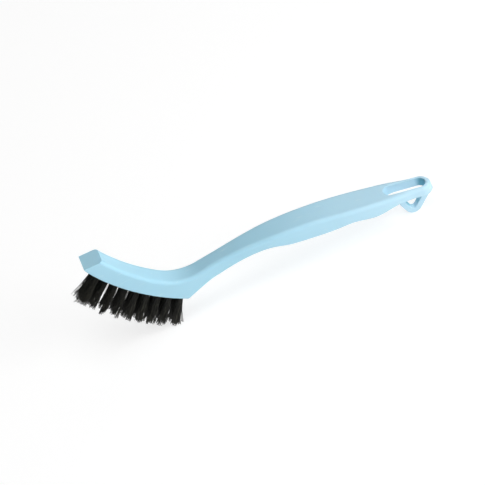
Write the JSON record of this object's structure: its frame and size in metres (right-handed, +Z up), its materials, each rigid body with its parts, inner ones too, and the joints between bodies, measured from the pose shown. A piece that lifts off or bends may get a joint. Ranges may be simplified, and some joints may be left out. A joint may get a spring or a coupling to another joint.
{
  "type": "wire brush",
  "caption": "Narrow hand scrub brush with a raised, bowed head of stiff dark filament tufts, a curved moulded grip, and a hanging slot and hook at the tail.",
  "frame": {"origin": "on the surface that the brush lies on, under the middle of its bounding box", "axes": "+X along the brush, from the toe of the head to the tail with its hook; +Y across the brush; +Z up. The brush rests on the tips of the tufts at the head's heel and on the bottom of the hook"},
  "size_m": [0.2087, 0.0192, 0.0661],
  "materials": {
    "handle": "light blue moulded polypropylene, semi-matte",
    "filament": "black nylon filament",
    "anchor_wire": "flat galvanised wire"
  },
  "bodies": {
    "root": {"handle": "handle", "tuft_anchors": "anchor_wire", "tuft_row1_01": "filament", "tuft_row1_02": "filament", "tuft_row1_03": "filament", "tuft_row1_04": "filament", "tuft_row1_05": "filament", "tuft_row1_06": "filament", "tuft_row1_07": "filament", "tuft_row1_08": "filament", "tuft_row1_09": "filament", "tuft_row2_01": "filament", "tuft_row2_02": "filament", "tuft_row2_03": "filament", "tuft_row2_04": "filament", "tuft_row2_05": "filament", "tuft_row2_06": "filament", "tuft_row2_07": "filament", "tuft_row2_08": "filament", "tuft_row2_09": "filament", "tuft_row3_01": "filament", "tuft_row3_02": "filament", "tuft_row3_03": "filament", "tuft_row3_04": "filament", "tuft_row3_05": "filament", "tuft_row3_06": "filament", "tuft_row3_07": "filament", "tuft_row3_08": "filament", "tuft_row3_09": "filament"}
  },
  "joints": []
}
